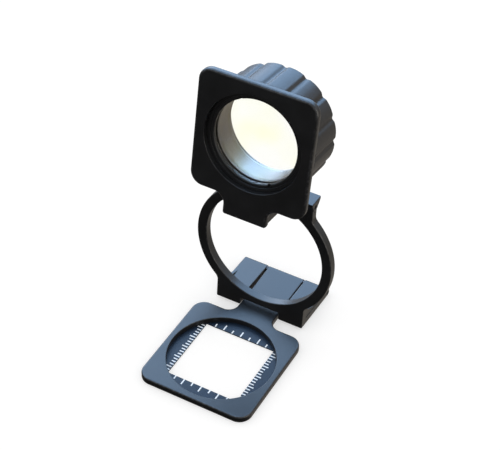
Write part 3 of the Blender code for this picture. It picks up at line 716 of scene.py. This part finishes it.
def make_upright():
    """Ring frame with its foot prongs and lugs, and the two hinge pins with their washers."""
    body = prism([frame_outline()], 0.0, RING_DEPTH, (PLATE_EDGE,), FRONT_VIEW)
    foot = rounded([
        (JOIN, 0.0, 0.0),
        (FOOT_END, 0.0, HINGE_END_RADIUS),
        (FOOT_END, FOOT_THICKNESS, HINGE_END_RADIUS),
        (JOIN, FOOT_THICKNESS, 0.0),
    ])
    gusset = rounded(GUSSET_SECTION)
    lug = [Vector(p) for p in LUG_SECTION]
    tools = []
    rows = ((foot, TONGUE_SLOT_HALF, BLOCK_HALF), (gusset, GUSSET_INNER, GUSSET_OUTER),
            (lug, ARM_SLOT_HALF, LUG_HALF))
    for section, inner, outer in rows:
        for low, high in ((inner, outer), (-outer, -inner)):
            tools.append(("UNION", prism([section], low, high, (PLATE_EDGE,), SIDE_VIEW)))
    head_axis = (UPRIGHT.inverted() @ HEAD @ Vector((0.0, *HEAD_AXIS)))[1:]
    for axis in (FOOT_AXIS, head_axis):
        hole = hinge_rod(axis, PIN_RADIUS + PIN_CLEARANCE, BLOCK_HALF + OVERCUT, 0.0)
        tools.append(("DIFFERENCE", hole))
    piece("ring_body", carved(body, tools), UPRIGHT, "upright", BLACK,
          ["ring_frame"])
    for name, axis, inner in (("base_hinge", FOOT_AXIS, TONGUE_HALF),
                              ("head_hinge", head_axis, NECK_HALF)):
        pin = hinge_rod(axis, PIN_RADIUS, PIN_HALF, PIN_CHAMFER)
        piece(f"{name}_rivet", pin, UPRIGHT, "upright", STEEL, [f"{name}_pin"])
        for side, sign in (("right", 1.0), ("left", -1.0)):
            low, high = inner + WASHER_NEAR, inner + WASHER_FAR
            at = Matrix.Translation((0.0, *axis)) @ Matrix.Rotation(sign * TURN / 4, 4, "Y")
            washer = lathe([(WASHER_BORE, low), (WASHER_RADIUS, low), (WASHER_RADIUS, high),
                            (WASHER_BORE, high)], WASHER_EASE, ROD_TURN, at)
            piece(f"{name}_shim_{side}", washer, UPRIGHT, "upright", STEEL,
                  [f"{name}_washer_{side}"])


def hinge_rod(axis, radius, half, chamfer):
    """A rod along x through the axis (y, z), its ends eased to a chamfer."""
    at = Matrix.Translation((0.0, *axis)) @ Matrix.Rotation(TURN / 4, 4, "Y")
    profile = [(0.0, -half), (radius - chamfer, -half), (radius, chamfer - half),
               (radius, half - chamfer), (radius - chamfer, half), (0.0, half)]
    if chamfer == 0.0:
        profile = [(0.0, -half), (radius, -half), (radius, half), (0.0, half)]
    return lathe(profile, 0.0, ROD_TURN, at)


# ---------------------------------------------------------------- head

def make_lens_plate():
    """Lens plate with its round opening and neck, and the arm back to its hinge."""
    half = BASE_HALF
    outline = rounded([
        (-half, HEAD_HEIGHT, PLATE_CORNER),
        (-half, 0.0, PLATE_CORNER),
        (-NECK_HALF, 0.0, SHOULDER_FILLET),
        (-NECK_HALF, -NECK_LENGTH, NECK_CORNER),
        (NECK_HALF, -NECK_LENGTH, NECK_CORNER),
        (NECK_HALF, 0.0, SHOULDER_FILLET),
        (half, 0.0, PLATE_CORNER),
        (half, HEAD_HEIGHT, PLATE_CORNER),
    ], CORNER_STEPS)
    opening = circle(BARREL_HOLE, FINE_TURN, (0.0, OPTICS_HEIGHT))
    plate = prism([outline, opening], 0.0, HEAD_THICKNESS, (HEAD_EDGE, HOLE_EDGE), FRONT_VIEW)
    arm = rounded([
        (JOIN, ARM_LOW, 0.0),
        (ARM_END, ARM_LOW, HINGE_END_RADIUS),
        (ARM_END, ARM_HIGH, HINGE_END_RADIUS),
        (JOIN, ARM_HIGH, 0.0),
    ])
    hole = hinge_rod(HEAD_AXIS, PIN_RADIUS + PIN_CLEARANCE, NECK_HALF + OVERCUT, 0.0)
    done = carved(plate, [
        ("UNION", prism([arm], -ARM_HALF, ARM_HALF, (PLATE_EDGE,), SIDE_VIEW)),
        ("DIFFERENCE", hole),
    ])
    piece("lens_plate_body", done, HEAD, "head", BLACK, ["lens_plate"])


def spokes(count, depth, phase=0.0):
    """Placements at a depth that point local z outward from the optical axis."""
    place = Matrix.Translation((0.0, 0.0, depth))
    tip = Matrix.Rotation(TURN / 4, 4, "Y")
    return [place @ (Matrix.Rotation(phase + TURN * i / count, 4, "Z") @ tip)
            for i in range(count)]


def notches(radius, low, high, half_width, phase):
    """Boxes that cut two opposite spanner slots across a ring's rim."""
    cuts = []
    for i in range(2):
        turn = Matrix.Rotation(phase + i * math.pi, 4, "Z")
        slot = box((radius - SPANNER_REACH, -half_width, low),
                   (radius + SPANNER_REACH, half_width, high), turn)
        cuts.append(("DIFFERENCE", slot))
    return cuts


def make_optics():
    """Everything turned: barrel, rings, sleeve, lens cell and the lenses in it."""
    guides = spokes(GUIDE_COUNT, GUIDE_DEPTH)
    slots = [("DIFFERENCE", box(*GUIDE_SLOT, seat)) for seat in guides]
    piece("barrel_tube", carved(lathe(BARREL_SECTION), slots), OPTICS, "head", BLACK,
          ["barrel"])
    piece("stop_ring", carved(lathe(STOP_SECTION), notches(*STOP_SLOTS)), OPTICS, "head", BLACK,
          ["front_stop_ring"])
    keeper = carved(lathe(KEEPER_SECTION), notches(*KEEPER_SLOTS))
    item = piece("keeper_ring", keeper, OPTICS, "head", BLACK,
                 ["knob_retaining_ring"])
    brighten_bore(item, BRIGHT_BORE)

    inside = ("lens_carriage", ALUMINIUM, "satin_aluminium")
    rows = [
        ("cell_tube", *inside, "lens_cell", CELL_SECTION),
        ("spacer_tube", *inside, "lens_spacer", SPACER_SECTION),
        ("objective_ring", *inside, "objective_retaining_ring", OBJECTIVE_RING_SECTION),
        ("eye_ring", *inside, "eye_retaining_ring", EYE_RING_SECTION),
        ("band_ring", "focus_ring", NYLON, "nylon", "friction_band", BAND_SECTION),
    ]
    for name, body, material, slot, node, profile in rows:
        piece(name, lathe(profile), OPTICS, body, material, [node])

    grips = spokes(GRIP_COUNT, GRIP_DEPTH, GRIP_TURN)
    knob = prism([knob_outline(), circle(KNOB_BORE)], KNOB_FRONT, KNOB_REAR, KNOB_EDGES)
    rows = [
        ("sleeve_tube", lathe(SLEEVE_SECTION), BRASS, "brass", "drive_sleeve"),
        ("knob_body", knob, KNOB_BLACK, "knob_black", "focus_knob"),
    ]
    for name, mesh, material, slot, node in rows:
        holes = [("DIFFERENCE", rod(*GRIP_HOLE, seat)) for seat in grips]
        piece(name, carved(mesh, holes), OPTICS, "focus_ring", material, [node])
    for i, seat in enumerate(grips):
        piece(f"grub_screw_{i + 1}", socket_screw(*GRIP_SCREW, seat), OPTICS, "focus_ring",
              STEEL, [f"grip_screw_{i + 1}"])
    for i, seat in enumerate(guides):
        piece(f"guide_stud_{i + 1}", rod(*GUIDE_STUD, seat), OPTICS, "lens_carriage", STEEL,
              [f"guide_screw_{i + 1}"])

    for name, node, flat, direction in (("objective_glass", "objective_lens", OBJECTIVE_FLAT, 1.0),
                                        ("eye_glass", "eye_lens", EYE_FLAT, -1.0)):
        piece(name, lathe(lens_profile(flat, direction), 0.0), OPTICS, "lens_carriage", GLASS,
              [node])


def rod(radius, low, high, chamfer, placement):
    """A round stud along local z."""
    profile = [(0.0, low), (radius, low), (radius, high), (0.0, high)]
    if chamfer > 0.0:
        profile[2:3] = [(radius, high - chamfer), (radius - chamfer, high)]
        profile[1:2] = [(radius - chamfer, low), (radius, low + chamfer)]
    return lathe(profile, 0.0, STUD_TURN, placement)


def socket_screw(radius, low, high, chamfer, placement):
    """A grub screw with a hexagon socket in its outer end."""
    floor, top = high - SOCKET_DEPTH, high + SOCKET_CUT
    socket = lathe([(0.0, floor), (SOCKET_RADIUS, floor), (SOCKET_RADIUS, top), (0.0, top)],
                   0.0, 6, placement)
    return carved(rod(radius, low, high, chamfer, placement), [("DIFFERENCE", socket)])


def knob_outline():
    """Outer outline of the knob: broad round lobes parted by narrow grooves."""
    points = []
    steps = KNOB_LOBE_STEPS * KNOB_LOBES
    pitch = TURN / KNOB_LOBES
    for i in range(steps):
        angle = TURN * i / steps
        offset = abs((angle + pitch / 2.0) % pitch - pitch / 2.0)
        groove = math.exp(-(offset / GROOVE_WIDTH) ** 2)
        fall = (1.0 - math.cos(math.pi * (1.0 - 2.0 * offset / pitch))) / 2.0
        radius = KNOB_RADIUS - max(GROOVE_DEPTH * groove, KNOB_CROWN * fall)
        points.append(Vector((radius * math.cos(angle), radius * math.sin(angle))))
    return points


def lens_profile(flat_z, direction):
    """Plano-convex section from the axis out and back; direction is the way its crown points."""
    sag = LENS_CURVE - math.sqrt(LENS_CURVE ** 2 - LENS_RADIUS ** 2)
    profile = [(0.0, flat_z), (LENS_RADIUS, flat_z)]
    for i in range(LENS_STEPS + 1):
        radius = LENS_RADIUS * (1.0 - i / LENS_STEPS)
        rise = LENS_EDGE + sag - (LENS_CURVE - math.sqrt(LENS_CURVE ** 2 - radius ** 2))
        profile.append((radius, flat_z + direction * rise))
    return profile


def brighten_bore(item, radius):
    """Give the faces inside a radius the bright metal of the tube."""
    item.data.materials.append(ALUMINIUM)
    inverse = OPTICS.inverted()
    for face in item.data.polygons:
        centre = inverse @ face.center
        if math.hypot(centre.x, centre.y) < radius:
            face.material_index = 1


# ---------------------------------------------------------------- stage

# The surroundings' colours: low down by how far rearward, and high up by how far upward
WORLD_LOW = ((-0.30, (0.05, 0.047, 0.044)), (0.15, (0.16, 0.15, 0.135)),
             (0.60, (0.56, 0.51, 0.45)))
WORLD_HIGH = ((0.0, (0.55, 0.53, 0.50)), (0.25, (1.0, 1.0, 1.0)))
WORLD_TURN = (-0.12, 0.16)

FLOOR_RADIUS = 4.0
FLOOR_SIDES = 96
FLOOR_DROP = 0.05
FLOOR_TONE = 0.55
FLOOR_GLOW = 0.515

# Soft lights, in metres and watts: name, place, aim, size, power, colour
LIGHTS = (
    ("overhead", (-0.27, 0.30, 0.55), (0.0, 0.0, 0.04), (1.40, 1.3), 32.0, (0.32, 0.60, 1.0)),
    ("window", (-0.60, 0.62, 0.40), (0.0, 0.0, 0.04), (0.45, 0.45), 1.6, (1.0, 0.93, 0.86)),
    ("side", (0.7, -0.1, 0.15), (0.0, 0.0, 0.05), (0.5, 0.5), 3.0, (1.0, 0.92, 0.80)),
)

# Camera: azimuth, elevation and roll in degrees; aim and distance in mm; focal length in mm
CAMERA_ANGLES = (27.633, 41.879, 1.624)
CAMERA_AIM = (-24.157, 43.601, 0.0)
CAMERA_DISTANCE = 533.726
CAMERA_LENS = 106.50
CAMERA_CLIP = (0.01, 50.0)


def make_floor():
    """A plain pale floor."""
    mesh = bmesh.new()
    bmesh.ops.create_circle(mesh, cap_ends=True, segments=FLOOR_SIDES, radius=FLOOR_RADIUS)
    data = bpy.data.meshes.new("floor")
    mesh.to_mesh(data)
    mesh.free()
    floor = bpy.data.objects.new("floor", data)
    floor.location = (0.0, 0.0, -FLOOR_DROP * MM)
    floor.visible_glossy = False
    floor.visible_diffuse = False
    bpy.context.scene.collection.objects.link(floor)
    shader = Shader("floor_white")
    data.materials.append(shader.settle(
        Base_Color=coloured(FLOOR_TONE, FLOOR_TONE, FLOOR_TONE), Roughness=0.9,
        Specular_IOR_Level=0.0, Emission_Color=coloured(1.0, 1.0, 1.0),
        Emission_Strength=FLOOR_GLOW))


def make_world():
    """Soft white surroundings: dark low down in front, warmer and brighter low down behind."""
    world = bpy.data.worlds.new("studio")
    world.use_nodes = True
    bpy.context.scene.world = world
    nodes, links = world.node_tree.nodes, world.node_tree.links
    place = nodes.new("ShaderNodeTexCoord")
    parts = nodes.new("ShaderNodeSeparateXYZ")
    links.new(place.outputs["Generated"], parts.inputs[0])
    low = world_ramp(nodes, links, parts.outputs["Y"], WORLD_LOW)
    high = world_ramp(nodes, links, parts.outputs["Z"], WORLD_HIGH)
    rise = nodes.new("ShaderNodeMapRange")
    rise.interpolation_type = "SMOOTHSTEP"
    rise.inputs["From Min"].default_value = WORLD_TURN[0]
    rise.inputs["From Max"].default_value = WORLD_TURN[1]
    links.new(parts.outputs["Z"], rise.inputs["Value"])
    mix = nodes.new("ShaderNodeMix")
    mix.data_type = "RGBA"
    links.new(rise.outputs["Result"], mix.inputs[0])
    links.new(low, mix.inputs[6])
    links.new(high, mix.inputs[7])
    background = nodes["Background"]
    links.new(mix.outputs[2], background.inputs["Color"])
    background.inputs["Strength"].default_value = 1.0


def world_ramp(nodes, links, value, stops):
    """Colours along a direction component from -1 to 1; stops are (value, colour)."""
    ramp = nodes.new("ShaderNodeValToRGB")
    spread = nodes.new("ShaderNodeMapRange")
    spread.inputs["From Min"].default_value = -1.0
    links.new(value, spread.inputs["Value"])
    links.new(spread.outputs["Result"], ramp.inputs["Fac"])
    while len(ramp.color_ramp.elements) < len(stops):
        ramp.color_ramp.elements.new(0.5)
    for stop, (at, colour) in zip(ramp.color_ramp.elements, stops):
        stop.position = (at + 1.0) / 2.0
        stop.color = (*colour, 1.0)
    return ramp.outputs["Color"]


def area_light(name, location, aim, size, energy, colour):
    """A soft rectangular light pointed at a place, seen only in gloss."""
    data = bpy.data.lights.new(name, "AREA")
    data.shape = "RECTANGLE"
    data.size, data.size_y = size
    data.energy = energy
    data.color = colour
    item = bpy.data.objects.new(name, data)
    item.location = location
    direction = Vector(aim) - Vector(location)
    item.rotation_euler = direction.to_track_quat("-Z", "Y").to_euler()
    item.visible_diffuse = False
    item.visible_camera = False
    bpy.context.scene.collection.objects.link(item)


def make_camera():
    """The camera, placed by direction, distance, aim and roll."""
    azimuth, elevation, roll = (math.radians(a) for a in CAMERA_ANGLES)
    aim = Vector(CAMERA_AIM) * MM
    back = Vector((math.sin(azimuth) * math.cos(elevation),
                   -math.cos(azimuth) * math.cos(elevation), math.sin(elevation)))
    side = Vector((0.0, 0.0, 1.0)).cross(back).normalized()
    rise = back.cross(side)
    turned_side = side * math.cos(roll) + rise * math.sin(roll)
    turned_rise = rise * math.cos(roll) - side * math.sin(roll)
    data = bpy.data.cameras.new("camera")
    data.lens = CAMERA_LENS
    data.clip_start, data.clip_end = CAMERA_CLIP
    camera = bpy.data.objects.new("camera", data)
    rotation = Matrix((turned_side, turned_rise, back)).transposed().to_4x4()
    camera.matrix_world = Matrix.Translation(aim + back * CAMERA_DISTANCE * MM) @ rotation
    bpy.context.scene.collection.objects.link(camera)
    bpy.context.scene.camera = camera


make_base()
make_upright()
make_lens_plate()
make_optics()
make_floor()
make_world()
for light in LIGHTS:
    area_light(*light)
make_camera()
bpy.context.scene.view_settings.view_transform = "Standard"
